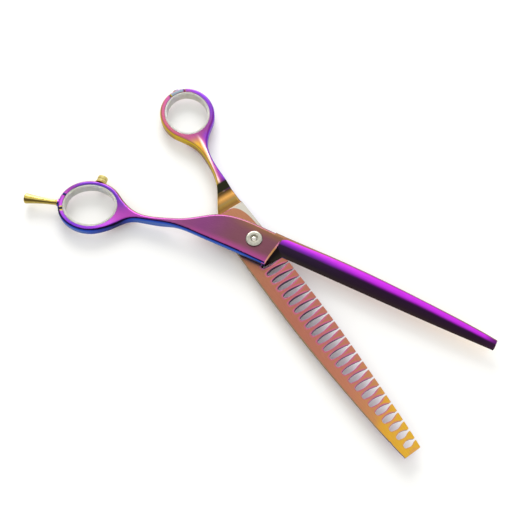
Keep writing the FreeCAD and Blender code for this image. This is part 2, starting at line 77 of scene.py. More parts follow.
def srgb(red: int, green: int, blue: int) -> Colour:
    """Turn a display colour, 0 to 255, into the linear values that shaders take.

    Args:
        red: the red part.
        green: the green part.
        blue: the blue part.

    Returns:
        The three parts, linear and 0 to 1.
    """
    def linear(value: int) -> float:
        """One channel, from display to linear."""
        share = value / 255
        return share / 12.92 if share <= 0.04045 else ((share + 0.055) / 1.055) ** 2.4
    return linear(red), linear(green), linear(blue)


def pivot_place() -> Vector:
    """Where the pivot axis crosses the ride plane, in metres."""
    joint = next(j for j in frame["joints"] if j["name"] == "blade_pivot")
    return Vector(joint["pos_m"])


def horn_axis() -> tuple[Vector, Vector]:
    """The finger rest's seat on its ring, and the way that it points."""
    joint = next(j for j in frame["joints"] if j["name"] == "finger_rest_turn")
    return Vector(joint["pos_m"]), Vector(joint["axis"])


# ------------------------------------------------------------------ node trees

class Graph:
    """A small builder for one material's node tree."""

    def __init__(self, name: str) -> None:
        """Make the material and its shader.

        Args:
            name: the material's name.
        """
        self.material = bpy.data.materials.new(name)
        self.material.use_nodes = True
        self.tree = self.material.node_tree
        self.tree.nodes.clear()
        output = self.tree.nodes.new("ShaderNodeOutputMaterial")
        self.shader = self.tree.nodes.new("ShaderNodeBsdfPrincipled")
        self.tree.links.new(self.shader.outputs["BSDF"], output.inputs["Surface"])

    def feed(self, socket: bpy.types.NodeSocket, value: object) -> None:
        """Link a socket to another node's output, or set its value.

        Args:
            socket: the input to feed.
            value: an output, a number or a colour.
        """
        if isinstance(value, bpy.types.NodeSocket):
            self.tree.links.new(value, socket)
        elif isinstance(value, tuple) and len(value) == 3 and socket.type == "RGBA":
            socket.default_value = (*value, 1.0)
        else:
            socket.default_value = value

    def set(self, **values: object) -> None:
        """Set the shader's own sockets, named with underscores for spaces."""
        for name, value in values.items():
            self.feed(self.shader.inputs[name.replace("_", " ")], value)

    def math(self, operation: str, first: object, second: object = 0.0,
             clamp: bool = False) -> bpy.types.NodeSocket:
        """One arithmetic node.

        Args:
            operation: Blender's name for the operation.
            first: a socket or a number.
            second: a socket or a number.
            clamp: whether the result stays within 0 and 1.

        Returns:
            The node's output.
        """
        node = self.tree.nodes.new("ShaderNodeMath")
        node.operation = operation
        node.use_clamp = clamp
        self.feed(node.inputs[0], first)
        self.feed(node.inputs[1], second)
        return node.outputs[0]

    def span(self, value: object, low: float, high: float, start: float = 0.0,
             end: float = 1.0) -> bpy.types.NodeSocket:
        """Map a stretch of values smoothly onto another, and hold its ends.

        Args:
            value: the socket to map.
            low: where the stretch starts.
            high: where the stretch ends.
            start: the result at low.
            end: the result at high.

        Returns:
            The mapped value.
        """
        node = self.tree.nodes.new("ShaderNodeMapRange")
        node.interpolation_type = "SMOOTHSTEP"
        for index, item in enumerate((value, low, high, start, end)):
            self.feed(node.inputs[index], item)
        return node.outputs[0]

    def ramp(self, factor: object, stops: list[Stop]) -> bpy.types.NodeSocket:
        """A colour ramp through the given stops.

        Args:
            factor: where to read the ramp, 0 to 1.
            stops: each stop's place and colour, in order.

        Returns:
            The colour.
        """
        node = self.tree.nodes.new("ShaderNodeValToRGB")
        self.feed(node.inputs[0], factor)
        elements = node.color_ramp.elements
        while len(elements) < len(stops):
            elements.new(1.0)
        for element, (place, colour) in zip(elements, stops):
            element.position = place
            element.color = (*colour, 1.0)
        return node.outputs[0]

    def blend(self, factor: object, first: object, second: object, kind: str = "MIX") -> bpy.types.NodeSocket:
        """Mix two colours.

        Args:
            factor: how much of the second there is, 0 to 1.
            first: a socket or a colour.
            second: a socket or a colour.
            kind: Blender's name for the way of mixing.

        Returns:
            The mixed colour.
        """
        node = self.tree.nodes.new("ShaderNodeMix")
        node.data_type = "RGBA"
        node.blend_type = kind
        self.feed(node.inputs[0], factor)
        self.feed(node.inputs[6], first)
        self.feed(node.inputs[7], second)
        return node.outputs[2]

    def noise(self, where: object, scale: float, detail: float = 2.0) -> bpy.types.NodeSocket:
        """A noise value at a place.

        Args:
            where: the coordinates.
            scale: how fine the noise is, in cycles per mm.
            detail: how many finer layers it has.

        Returns:
            The value, 0 to 1.
        """
        node = self.tree.nodes.new("ShaderNodeTexNoise")
        self.feed(node.inputs["Vector"], where)
        node.inputs["Scale"].default_value = scale
        node.inputs["Detail"].default_value = detail
        return node.outputs[0]

    def place(self, turn: float = 0.0, stretch: Colour = (1.0, 1.0, 1.0)) -> bpy.types.NodeSocket:
        """The place on the piece in millimetres from the pivot, turned back by an angle.

        Args:
            turn: the angle about the pivot, in degrees.
            stretch: how much each axis is stretched, for grain.

        Returns:
            The mapped coordinates.
        """
        spin = Matrix.Rotation(math.radians(turn), 3, "Z")
        scale = Matrix.Diagonal(Vector(stretch) / MM)
        coordinates = self.tree.nodes.new("ShaderNodeTexCoord")
        centre = self.tree.nodes.new("ShaderNodeMapping")
        centre.inputs["Location"].default_value = -pivot_place()
        self.tree.links.new(coordinates.outputs["Object"], centre.inputs["Vector"])
        mapping = self.tree.nodes.new("ShaderNodeMapping")
        mapping.inputs["Rotation"].default_value = spin.to_euler()
        self.tree.links.new(centre.outputs[0], mapping.inputs["Vector"])
        scaled = self.tree.nodes.new("ShaderNodeMapping")
        scaled.inputs["Scale"].default_value = [scale[i][i] for i in range(3)]
        self.tree.links.new(mapping.outputs[0], scaled.inputs["Vector"])
        return scaled.outputs[0]

    def facing(self, turn: float = 0.0) -> bpy.types.NodeSocket:
        """The way the surface faces on the piece itself, turned back by an angle.

        Args:
            turn: the angle about the pivot, in degrees.

        Returns:
            The direction.
        """
        coordinates = self.tree.nodes.new("ShaderNodeTexCoord")
        mapping = self.tree.nodes.new("ShaderNodeMapping")
        mapping.inputs["Rotation"].default_value = (0.0, 0.0, math.radians(turn))
        self.tree.links.new(coordinates.outputs["Normal"], mapping.inputs["Vector"])
        return mapping.outputs[0]

    def split(self, vector: bpy.types.NodeSocket) -> tuple[bpy.types.NodeSocket, ...]:
        """The three parts of a vector.

        Args:
            vector: the vector's socket.

        Returns:
            Its X, Y and Z.
        """
        node = self.tree.nodes.new("ShaderNodeSeparateXYZ")
        self.tree.links.new(vector, node.inputs[0])
        return tuple(node.outputs)

    def bump(self, height: object, strength: float, distance: float) -> None:
        """Give the shader a fine relief.

        Args:
            height: the relief's height, 0 to 1.
            strength: how strongly it shows, 0 to 1.
            distance: the height of a full step, in metres.
        """
        node = self.tree.nodes.new("ShaderNodeBump")
        node.inputs["Strength"].default_value = strength
        node.inputs["Distance"].default_value = distance
        self.feed(node.inputs["Height"], height)
        self.tree.links.new(node.outputs[0], self.shader.inputs["Normal"])


# ------------------------------------------------------------------ finishes

@dataclass(frozen=True)
class Finish:
    """One finish, which can be asked for its material."""

    name: str

    def material(self) -> bpy.types.Material:
        """The finish as a node material, made once."""
        found = bpy.data.materials.get(self.name)
        return found or self.build()

    def build(self) -> bpy.types.Material:
        """Make the node material."""
        raise NotImplementedError


@dataclass(frozen=True)
class RainbowCoat(Finish):
    """Polished steel under a thin coloured coating, whose hue follows the form of one half; some of its
    colours are painted highlights and dark reflections.

    The hue depends on the place along the half and on the way its surface faces, both on the
    piece itself, so it does not move when the shears open.
    """

    turn: float = 0.0
    roughness: float = 0.27
    grain_across: float = 9.0

    def build(self) -> bpy.types.Material:
        """Make the node material.

        Returns:
            The material.
        """
        graph = Graph(self.name)
        where = graph.place(self.turn)
        x, y, z = graph.split(where)
        nx, ny, nz = graph.split(graph.facing(self.turn))
        wander = graph.math("SUBTRACT", graph.noise(where, 0.12, 3.0), 0.5)
        colour = self.hue(graph, (x, y, z), (nx, ny, nz), wander)
        grain = graph.noise(graph.place(self.turn, (0.35, self.grain_across, self.grain_across)), 1.0, 4.0)
        blotch = graph.noise(where, 0.35, 4.0)
        colour = graph.blend(graph.span(grain, 0.3, 0.75, 0.0, 0.16), colour, srgb(60, 34, 50), "MULTIPLY")
        rough = graph.math("ADD", self.roughness, graph.math("MULTIPLY", grain, 0.10))
        rough = graph.math("ADD", rough, graph.math("MULTIPLY", graph.math("SUBTRACT", blotch, 0.5), 0.08))
        graph.set(Base_Color=colour, Metallic=1.0, Roughness=rough)
        graph.bump(grain, 0.05, 0.02 * MM)
        return graph.material

    def hue(self, graph: Graph, place: tuple, facing: tuple, wander: object) -> bpy.types.NodeSocket:
        """The coating's colour at a place that faces a given way.

        Args:
            graph: the builder of the material's node tree.
            place: the place on the piece along, across and above the ride face, in mm.
            facing: the three parts of the surface's direction.
            wander: a slow noise, about 0 at its middle.

        Returns:
            The colour.
        """
        raise NotImplementedError


@dataclass(frozen=True)
class FingerHalfCoat(RainbowCoat):
    """The coating of the finger half: violet ring, plum block, and a magenta to black blade, with painted
    highlights and a painted dark reflection on the flanks.

    Every number is a place in mm or a share of a direction, so each colour stays on its own part.
    """

    def hue(self, graph: Graph, place: tuple, facing: tuple, wander: object) -> bpy.types.NodeSocket:
        """The coating's colour at a place that faces a given way.

        Args:
            graph: the builder of the material's node tree.
            place: the place on the piece along, across and above the ride face, in mm.
            facing: the three parts of the surface's direction.
            wander: a slow noise, about 0 at its middle.

        Returns:
            The colour.
        """
        x, y, z = place
        nx, ny, nz = facing
        tilt = graph.math("ADD", graph.math("MULTIPLY", ny, 0.5), 0.5)
        tilt = graph.math("ADD", tilt, graph.math("MULTIPLY", wander, 0.04))
        # Colour by which way the flank faces: the near-black stops from 0.225 to 0.29 are a painted dark
        # reflection, and the other stops are the coating's hues.
        flank = graph.ramp(tilt, [
            (0.00, srgb(70, 112, 190)), (0.06, srgb(48, 84, 186)), (0.16, srgb(44, 58, 150)),
            (0.225, srgb(20, 18, 40)), (0.29, srgb(14, 12, 20)), (0.35, srgb(52, 22, 84)),
            (0.42, srgb(140, 62, 200)), (0.49, srgb(172, 70, 186)), (0.56, srgb(166, 74, 170)),
            (0.68, srgb(130, 72, 104)), (0.82, srgb(122, 82, 74)), (0.93, srgb(146, 110, 70)),
            (1.00, srgb(158, 124, 72))])
        ring_across = graph.math("ADD", graph.span(y, -30.0, 0.0), graph.math("MULTIPLY", wander, 0.12))
        # The brightest magenta stops, 0.20 to 0.34, are a painted highlight across the ring's top; the rest
        # is the coating's violet.
        ring_top = graph.ramp(ring_across, [
            (0.00, srgb(104, 62, 206)), (0.08, srgb(160, 76, 224)), (0.20, srgb(202, 92, 234)),
            (0.34, srgb(206, 96, 226)), (0.50, srgb(190, 84, 188)), (0.66, srgb(150, 68, 158)),
            (0.82, srgb(108, 60, 166)), (1.00, srgb(96, 56, 160))])
        beside = graph.math("SUBTRACT", graph.math("MULTIPLY", graph.math("ADD", x, 70.6), 0.544),
                            graph.math("MULTIPLY", graph.math("ADD", y, 15.1), 0.839))
        nicked = graph.math("MULTIPLY", graph.span(graph.math("ABSOLUTE", beside), 1.7, 0.7),
                            graph.span(x, -76.0, -78.0))
        ring_top = graph.blend(nicked, ring_top, srgb(226, 200, 84))
        shank_along = graph.math("ADD", graph.span(x, -58.0, -12.0), graph.math("MULTIPLY", wander, 0.10))
        shank_top = graph.ramp(shank_along, [
            (0.00, srgb(168, 70, 168)), (0.20, srgb(150, 66, 150)), (0.45, srgb(136, 70, 120)),
            (1.00, srgb(124, 72, 100))])
        low = graph.math("SUBTRACT", y, self.lower_edge(graph, x))
        high = graph.math("SUBTRACT", self.upper_edge(graph, x), y)
        low = graph.math("ADD", low, graph.math("MULTIPLY", wander, 0.9))
        block = graph.blend(graph.span(x, -24.0, -6.0), srgb(128, 66, 116), srgb(122, 76, 88))
        tan = graph.math("MULTIPLY", graph.span(high, 5.2, 0.6), graph.span(x, -17.0, 1.0))
        block = graph.blend(tan, block, srgb(140, 100, 72))
        block = graph.blend(graph.span(low, 4.6, 1.0, 0.0, 0.85), block, srgb(172, 76, 140))
        block = graph.blend(graph.span(low, 1.5, 0.3, 0.0, 0.9), block, srgb(206, 92, 176))
        flat = graph.blend(graph.span(x, -60.0, -52.0), ring_top, shank_top)
        flat = graph.blend(graph.span(x, -34.0, -22.0), flat, block)
        top = graph.span(nz, 0.93, 0.99)
        colour = graph.blend(top, flank, flat)
        past_front = graph.span(graph.math("SUBTRACT", x, graph.math("MULTIPLY", y, 0.14)), 10.0, 10.2)
        before_blade = graph.math("MULTIPLY", graph.span(y, -1.2, -1.6), graph.span(x, 15.5, 14.5))
        past_front = graph.math("MULTIPLY", past_front, graph.math("SUBTRACT", 1.0, before_blade))
        colour = graph.blend(past_front, colour, self.blade(graph, x, y, ny, wander))
        # Where the block's front faces forward, it takes a painted highlight on its bevel and painted shade
        # below it.
        front = graph.math("MULTIPLY", graph.span(nx, 0.30, 0.45), graph.span(x, 7.0, 8.0))
        front = graph.math("MULTIPLY", front, graph.span(x, 16.0, 14.5))
        colour = graph.blend(front, colour, self.block_front(graph, y, z))
        under = graph.span(nz, -0.97, -0.995)
        return graph.blend(under, colour, self.inner_face(graph, x, wander))

    def block_front(self, graph: Graph, y: object, z: object) -> bpy.types.NodeSocket:
        """The block's front: a painted gold and pink highlight on its bevel, over a face painted near black
        as shade.

        Args:
            graph: the builder of the material's node tree.
            y: how far across it, in mm.
            z: how far above the ride face, in mm.

        Returns:
            The colour.
        """
        # Painted highlight on the bevel, gold and pink.
        bevel_highlight = graph.ramp(graph.span(y, -8.5, 5.0), [
            (0.0, srgb(236, 160, 158)), (0.30, srgb(214, 158, 104)), (0.62, srgb(206, 150, 92)),
            (0.84, srgb(236, 150, 168)), (1.0, srgb(226, 110, 214))])
        # Painted shade on the face below the bevel, near black.
        hollow_shade = graph.blend(graph.span(z, 1.9, 0.2), srgb(28, 22, 24), srgb(46, 44, 36))
        return graph.blend(graph.span(z, 2.36, 2.48), hollow_shade, bevel_highlight)

    def lower_edge(self, graph: Graph, x: object) -> bpy.types.NodeSocket:
        """The height of the block's lower edge at a place along the half."""
        return graph.span(x, -40.0, 2.0, -9.9, -8.2)

    def upper_edge(self, graph: Graph, x: object) -> bpy.types.NodeSocket:
        """The height of the block's upper edge at a place along the half."""
        return graph.span(x, -30.0, -10.0, -2.9, 6.7)

    def blade(self, graph: Graph, x: object, y: object, ny: object, wander: object) -> bpy.types.NodeSocket:
        """The blade's violet spine with a painted bright magenta highlight along its crease, darkening to
        near black at its edge.

        Args:
            graph: the builder of the material's node tree.
            x: how far along the half, in mm.
            y: how far across it, in mm.
            ny: how much the surface faces across the half.
            wander: a slow noise, about 0 at its middle.

        Returns:
            The colour.
        """
        along = graph.math("DIVIDE", graph.math("SUBTRACT", x, 22.0), 84.0, clamp=True)
        spine = graph.math("SUBTRACT", 6.8, graph.math("MULTIPLY", graph.math("MULTIPLY", along, along), 4.7))
        edge = graph.math("SUBTRACT", -1.3, graph.math("MULTIPLY", along, 0.7))
        across = graph.math("DIVIDE", graph.math("SUBTRACT", spine, y), graph.math("SUBTRACT", spine, edge))
        across = graph.math("ADD", across, graph.math("MULTIPLY", wander, 0.05))
        # The brightest magenta stops in both ramps paint a highlight on the sloped crease.
        root = graph.ramp(across, [
            (0.00, srgb(150, 104, 84)), (0.06, srgb(170, 104, 110)), (0.11, srgb(222, 74, 226)),
            (0.24, srgb(206, 66, 234)), (0.38, srgb(150, 50, 200)), (0.48, srgb(112, 44, 150)),
            (0.55, srgb(52, 34, 62)), (1.00, srgb(34, 30, 34))])
        middle = graph.ramp(across, [
            (0.00, srgb(146, 72, 120)), (0.06, srgb(186, 54, 186)), (0.14, srgb(224, 62, 246)),
            (0.34, srgb(206, 52, 236)), (0.42, srgb(164, 40, 190)), (0.49, srgb(84, 26, 98)),
            (0.56, srgb(46, 26, 52)), (1.00, srgb(48, 34, 40))])
        colour = graph.blend(graph.span(x, 20.0, 56.0), root, middle)
        colour = graph.blend(graph.span(x, 99.0, 104.5, 0.0, 0.8), colour, srgb(60, 34, 60))
        near = graph.span(x, 60.0, 11.0)
        rim = graph.math("ADD", 0.25, graph.math("MULTIPLY", graph.math("MULTIPLY", near, near), 0.95))
        at_root = graph.math("POWER", graph.span(x, 14.0, 10.0), 2.0)
        rim = graph.math("ADD", rim, graph.math("MULTIPLY", at_root, 1.3))
        inside = graph.math("SUBTRACT", graph.math("SUBTRACT", spine, y), rim)
        colour = graph.blend(graph.span(inside, 0.3, -0.05), colour, srgb(150, 104, 78))
        colour = graph.blend(graph.span(ny, 0.35, 0.75), colour, srgb(130, 84, 84))
        return graph.blend(graph.span(ny, -0.55, -0.85), colour, srgb(66, 54, 50))

    def inner_face(self, graph: Graph, x: object, wander: object) -> bpy.types.NodeSocket:
        """The flat ride face's copper and rose.

        Args:
            graph: the builder of the material's node tree.
            x: how far along the half, in mm.
            wander: a slow noise, about 0 at its middle.

        Returns:
            The colour.
        """
        along = graph.math("ADD", graph.span(x, -30.0, 106.0), graph.math("MULTIPLY", wander, 0.2))
        return graph.ramp(along, [
            (0.0, srgb(170, 86, 130)), (0.3, srgb(164, 102, 90)), (0.8, srgb(184, 116, 84)),
            (1.0, srgb(226, 172, 62))])


@dataclass(frozen=True)
class ThumbHalfCoat(RainbowCoat):
    """The coating of the thumb half: gold and violet handle, and a copper toothed blade, with a painted pale
    highlight along the handle.
    """

    pitch: float = 3.909
    first_slot: float = 11.591

    def hue(self, graph: Graph, place: tuple, facing: tuple, wander: object) -> bpy.types.NodeSocket:
        """The coating's colour at a place that faces a given way.

        Args:
            graph: the builder of the material's node tree.
            place: the place on the piece along, across and above the ride face, in mm.
            facing: the three parts of the surface's direction.
            wander: a slow noise, about 0 at its middle.

        Returns:
            The colour.
        """
        x, y, z = place
        nx, ny, nz = facing
        tilt = graph.math("ADD", graph.math("MULTIPLY", ny, 0.5), 0.5)
        tilt = graph.math("ADD", tilt, graph.math("MULTIPLY", wander, 0.05))
        # Colour by which way the flank faces: the gold, plum and violet are the coating's, and the pale peach
        # stop at 0.34, fading into pink, is a painted highlight.
        flank = graph.ramp(tilt, [
            (0.00, srgb(150, 112, 36)), (0.06, srgb(206, 172, 40)), (0.16, srgb(214, 190, 62)),
            (0.26, srgb(150, 104, 40)), (0.34, srgb(212, 150, 110)), (0.43, srgb(196, 96, 140)),
            (0.54, srgb(150, 62, 130)), (0.66, srgb(136, 50, 160)), (0.80, srgb(120, 44, 196)),
            (0.93, srgb(104, 50, 190)), (1.00, srgb(74, 60, 170))])
        shank_top = self.shank_top(graph, x, y, wander)
        ring_top = self.ring_top(graph, x, y, wander)
        upper = graph.blend(graph.span(x, -59.0, -53.0), ring_top, shank_top)
        handle = graph.blend(graph.span(nz, 0.90, 0.985), flank, upper)
        skewed = graph.math("ADD", x, graph.math("MULTIPLY", y, 1.2))
        along = graph.math("ADD", graph.span(skewed, -19.0, 106.0), graph.math("MULTIPLY", wander, 0.06))
        flat = graph.ramp(along, [
            (0.00, srgb(172, 118, 88)), (0.25, srgb(178, 112, 90)), (0.50, srgb(184, 116, 96)),
            (0.78, srgb(196, 128, 98)), (0.905, srgb(206, 144, 92)), (0.94, srgb(228, 170, 62)),
            (1.00, srgb(236, 184, 60))])
        flat = graph.blend(self.slot_rim(graph, x, y), flat, srgb(206, 104, 150))
        ride = graph.math("MULTIPLY", graph.span(nz, 0.97, 0.995), graph.span(x, -19.4, -19.0))
        colour = graph.blend(ride, handle, flat)
        relief = graph.math("MULTIPLY", graph.span(x, -28.4, -27.4), graph.span(x, -18.6, -19.2))
        olive = graph.ramp(graph.span(x, -28.0, -19.0), [
            (0.0, srgb(70, 58, 38)), (0.10, srgb(160, 116, 60)), (0.28, srgb(214, 158, 84)),
            (0.50, srgb(170, 126, 66)), (0.62, srgb(146, 122, 74)), (0.78, srgb(150, 118, 56)),
            (0.92, srgb(130, 96, 50)), (1.0, srgb(150, 108, 60))])
        colour = graph.blend(graph.math("MULTIPLY", relief, graph.span(nz, 0.3, 0.8)), colour, olive)
        ramp_face = graph.math("MULTIPLY", graph.span(x, -32.2, -31.2), graph.span(x, -27.4, -28.4))
        ramp_face = graph.math("MULTIPLY", ramp_face, graph.span(nz, 0.1, 0.5))
        colour = graph.blend(ramp_face, colour, srgb(46, 46, 32))
        colour = graph.blend(self.bare_border(graph, x, y, nz), colour, srgb(196, 192, 180))
        wall = graph.math("MULTIPLY", graph.span(x, 9.0, 10.0), graph.span(nz, 0.35, 0.05))
        wall = graph.math("MULTIPLY", wall, graph.span(nz, -0.45, -0.05))
        wall = graph.math("MULTIPLY", wall, graph.span(y, -5.4, -4.6))
        return graph.blend(wall, colour, srgb(76, 46, 84))

    def shank_top(self, graph: Graph, x: object, y: object, wander: object) -> bpy.types.NodeSocket:
        """The shank's upper side: gold, then a painted pale highlight line, then plum and violet across it.

        Args:
            graph: the builder of the material's node tree.
            x: how far along the half, in mm.
            y: how far across it, in mm.
            wander: a slow noise, about 0 at its middle.

        Returns:
            The colour.
        """
        middle = graph.span(x, -58.0, -26.0, 9.0, 3.3)
        across = graph.math("ADD", graph.math("SUBTRACT", y, middle), graph.math("MULTIPLY", wander, 0.6))
        # The pale stops at 0.34 and 0.44 are a painted highlight line along the shank; the gold, plum and
        # violet are the coating's.
        return graph.ramp(graph.span(across, -3.6, 3.6), [
            (0.00, srgb(196, 158, 40)), (0.22, srgb(180, 128, 60)), (0.34, srgb(226, 190, 150)),
            (0.44, srgb(250, 214, 216)), (0.54, srgb(196, 112, 156)), (0.66, srgb(150, 70, 140)),
            (0.82, srgb(128, 56, 160)), (1.00, srgb(110, 46, 190))])

    def ring_top(self, graph: Graph, x: object, y: object, wander: object) -> bpy.types.NodeSocket:
        """The ring's upper face: rose by the shank, mauve round it, and gold at the spare hole.

        Args:
            graph: the builder of the material's node tree.
            x: how far along the half, in mm.
            y: how far across it, in mm.
            wander: a slow noise, about 0 at its middle.

        Returns:
            The colour.
        """
        across = graph.math("ADD", graph.span(y, -2.0, 25.0), graph.math("MULTIPLY", wander, 0.15))
        body = graph.ramp(across, [
            (0.00, srgb(164, 84, 104)), (0.25, srgb(152, 74, 116)), (0.55, srgb(126, 60, 116)),
            (0.80, srgb(118, 58, 126)), (1.00, srgb(96, 50, 158))])
        gold = graph.math("MULTIPLY", graph.span(x, -81.4, -82.2), self.between_notches(graph, x, y))
        blotch = graph.math("MULTIPLY", wander, 1.0, clamp=True)
        mottled = graph.blend(blotch, srgb(96, 112, 126), srgb(190, 172, 70))
        return graph.blend(gold, body, mottled)

    def between_notches(self, graph: Graph, x: object, y: object) -> bpy.types.NodeSocket:
        """Whether a place lies between the two nicks by the spare hole, 0 or 1.

        Args:
            graph: the builder of the material's node tree.
            x: how far along the half, in mm.
            y: how far across it, in mm.

        Returns:
            The share.
        """
        rise = graph.math("SUBTRACT", y, graph.math("MULTIPLY", graph.math("ADD", x, 70.9), -0.176))
        side = graph.math("ABSOLUTE", graph.math("SUBTRACT", rise, 11.2))
        return graph.span(side, 4.1, 3.8)

    def bare_border(self, graph: Graph, x: object, y: object, nz: object) -> bpy.types.NodeSocket:
        """The narrow uncoated border of the ride face, 0 to 1.

        Args:
            graph: the builder of the material's node tree.
            x: how far along the half, in mm.
            y: how far across it, in mm.
            nz: how much the surface faces up.

        Returns:
            The share.
        """
        run = graph.math("DIVIDE", graph.math("SUBTRACT", -2.0, x), 17.4, clamp=True)
        rise = graph.math("DIVIDE", graph.math("ADD", y, 3.0), 8.7, clamp=True)
        bend = graph.math("ADD", graph.math("POWER", run, 3.0), graph.math("POWER", rise, 3.0))
        outside = graph.math("MULTIPLY", graph.span(bend, 0.98, 1.02), graph.span(x, -19.35, -19.2))
        outside = graph.math("MULTIPLY", outside, graph.span(x, 2.0, -1.0))
        return graph.math("MULTIPLY", outside, graph.span(nz, 0.5, 0.8))

    def slot_rim(self, graph: Graph, x: object, y: object) -> bpy.types.NodeSocket:
        """How close a place is to the edge of a slot between two teeth, 0 to 1.

        Args:
            graph: the builder of the material's node tree.
            x: how far along the half, in mm.
            y: how far across it, in mm.

        Returns:
            The share.
        """
        turns = graph.math("DIVIDE", graph.math("SUBTRACT", x, self.first_slot - self.pitch / 2), self.pitch)
        off = graph.math("ABSOLUTE", graph.math("SUBTRACT", graph.math("FRACT", turns), 0.5))
        off = graph.math("MULTIPLY", off, self.pitch)
        taper = graph.math("POWER", graph.span(x, 44.0, 110.0), 1.0)
        high = graph.math("SUBTRACT", 6.9, graph.math("MULTIPLY", taper, 3.4))
        low = graph.math("ADD", -4.1, graph.math("MULTIPLY", taper, 2.8))
        lift = graph.math("DIVIDE", graph.math("SUBTRACT", y, low), graph.math("SUBTRACT", high, low))
        bulge = graph.math("SUBTRACT", 1.0, graph.math("POWER", graph.math("ABSOLUTE", graph.math(
            "DIVIDE", graph.math("SUBTRACT", lift, 0.4), 0.52)), 2.0), clamp=True)
        half_width = graph.math("ADD", 0.36, graph.math("MULTIPLY", bulge, 0.89))
        near = graph.span(graph.math("SUBTRACT", off, half_width), 0.8, 0.05)
        near = graph.math("MULTIPLY", near, graph.span(x, 8.0, 9.5))
        near = graph.math("MULTIPLY", near, graph.span(lift, -0.10, 0.04))
        near = graph.math("MULTIPLY", near, graph.span(lift, 1.0, 0.72, 0.25, 1.0))
        return graph.math("MULTIPLY", near, graph.span(x, 99.0, 84.0, 0.2, 0.95))


@dataclass(frozen=True)
class TurnedMetal(Finish):
    """Bright turned metal with fine rings about an axis, and painted dark reflection stripes where asked."""

    tint: Colour = srgb(205, 202, 194)
    dark: Colour = srgb(120, 116, 108)
    roughness: float = 0.2
    rings: float = 14.0
    # How strong the painted dark reflection stripes are, and their colour.
    dark_reflection_share: float = 0.0
    dark_reflection_tint: Colour = srgb(120, 84, 30)

    def build(self) -> bpy.types.Material:
        """Make the node material.

        Returns:
            The material.
        """
        graph = Graph(self.name)
        where = graph.place()
        x, y, _ = graph.split(where)
        square = graph.math("ADD", graph.math("MULTIPLY", x, x), graph.math("MULTIPLY", y, y))
        radius = graph.math("SQRT", square)
        lathe = graph.math("SINE", graph.math("MULTIPLY", radius, self.rings * math.tau))
        smear = graph.noise(where, 0.8, 4.0)
        shade = graph.span(smear, 0.35, 0.75, 0.0, 0.45)
        colour = graph.blend(shade, self.tint, self.dark)
        _, ny, _ = graph.split(graph.facing())
        roll = graph.math("ADD", graph.math("MULTIPLY", ny, 0.5), 0.5)
        # Painted dark reflection stripes on the sides that face across the piece.
        dark_reflection_mask = graph.math("ADD", graph.span(roll, 0.36, 0.26), graph.span(roll, 0.80, 0.97), clamp=True)
        dark_reflection_mask = graph.math("MULTIPLY", dark_reflection_mask, graph.span(roll, 0.02, 0.16, 0.35, 1.0))
        colour = graph.blend(graph.math("MULTIPLY", dark_reflection_mask, self.dark_reflection_share), colour, self.dark_reflection_tint)
        rough = graph.math("ADD", self.roughness, graph.math("MULTIPLY", smear, 0.12))
        graph.set(Base_Color=colour, Metallic=1.0, Roughness=rough)
        graph.bump(graph.math("ADD", graph.math("MULTIPLY", lathe, 0.5), smear), 0.08, 0.02 * MM)
        return graph.material


@dataclass(frozen=True)
class SoftPlastic(Finish):
    """A moulded plastic or silicone, with a fine mottle, and clear where it is asked to be."""

    tint: Colour = srgb(210, 204, 160)
    shade: Colour = srgb(168, 150, 90)
    roughness: float = 0.4
    clear: float = 0.0
    glow: float = 0.1

    def build(self) -> bpy.types.Material:
        """Make the node material.

        Returns:
            The material.
        """
        graph = Graph(self.name)
        where = graph.place()
        mottle = graph.noise(where, 0.6, 4.0)
        speck = graph.noise(where, 5.0, 2.0)
        colour = graph.blend(graph.span(mottle, 0.3, 0.75), self.tint, self.shade)
        rough = graph.math("ADD", self.roughness, graph.math("MULTIPLY", speck, 0.12))
        graph.set(Base_Color=colour, Roughness=rough, Transmission_Weight=self.clear, IOR=1.41,
                  Subsurface_Weight=self.glow, Subsurface_Radius=(0.9 * MM, 0.8 * MM, 0.6 * MM),
                  Subsurface_Scale=1.0)
        graph.bump(speck, 0.06, 0.03 * MM)
        return graph.material


@dataclass(frozen=True)
class PaleFloor(Finish):
    """The plain floor's matt white."""

    def build(self) -> bpy.types.Material:
        """Make the node material.

        Returns:
            The material.
        """
        graph = Graph(self.name)
        cloud = graph.noise(graph.place(), 0.01, 2.0)
        colour = graph.blend(cloud, srgb(250, 249, 246), srgb(246, 246, 243))
        graph.set(Base_Color=colour, Roughness=0.85)
        return graph.material


COATS = {
    "solid_blade": FingerHalfCoat("coat_finger_half", 0.0),
    "toothed_blade": ThumbHalfCoat("coat_thumb_half", 30.0),
}


# ------------------------------------------------------------------ mesh helpers

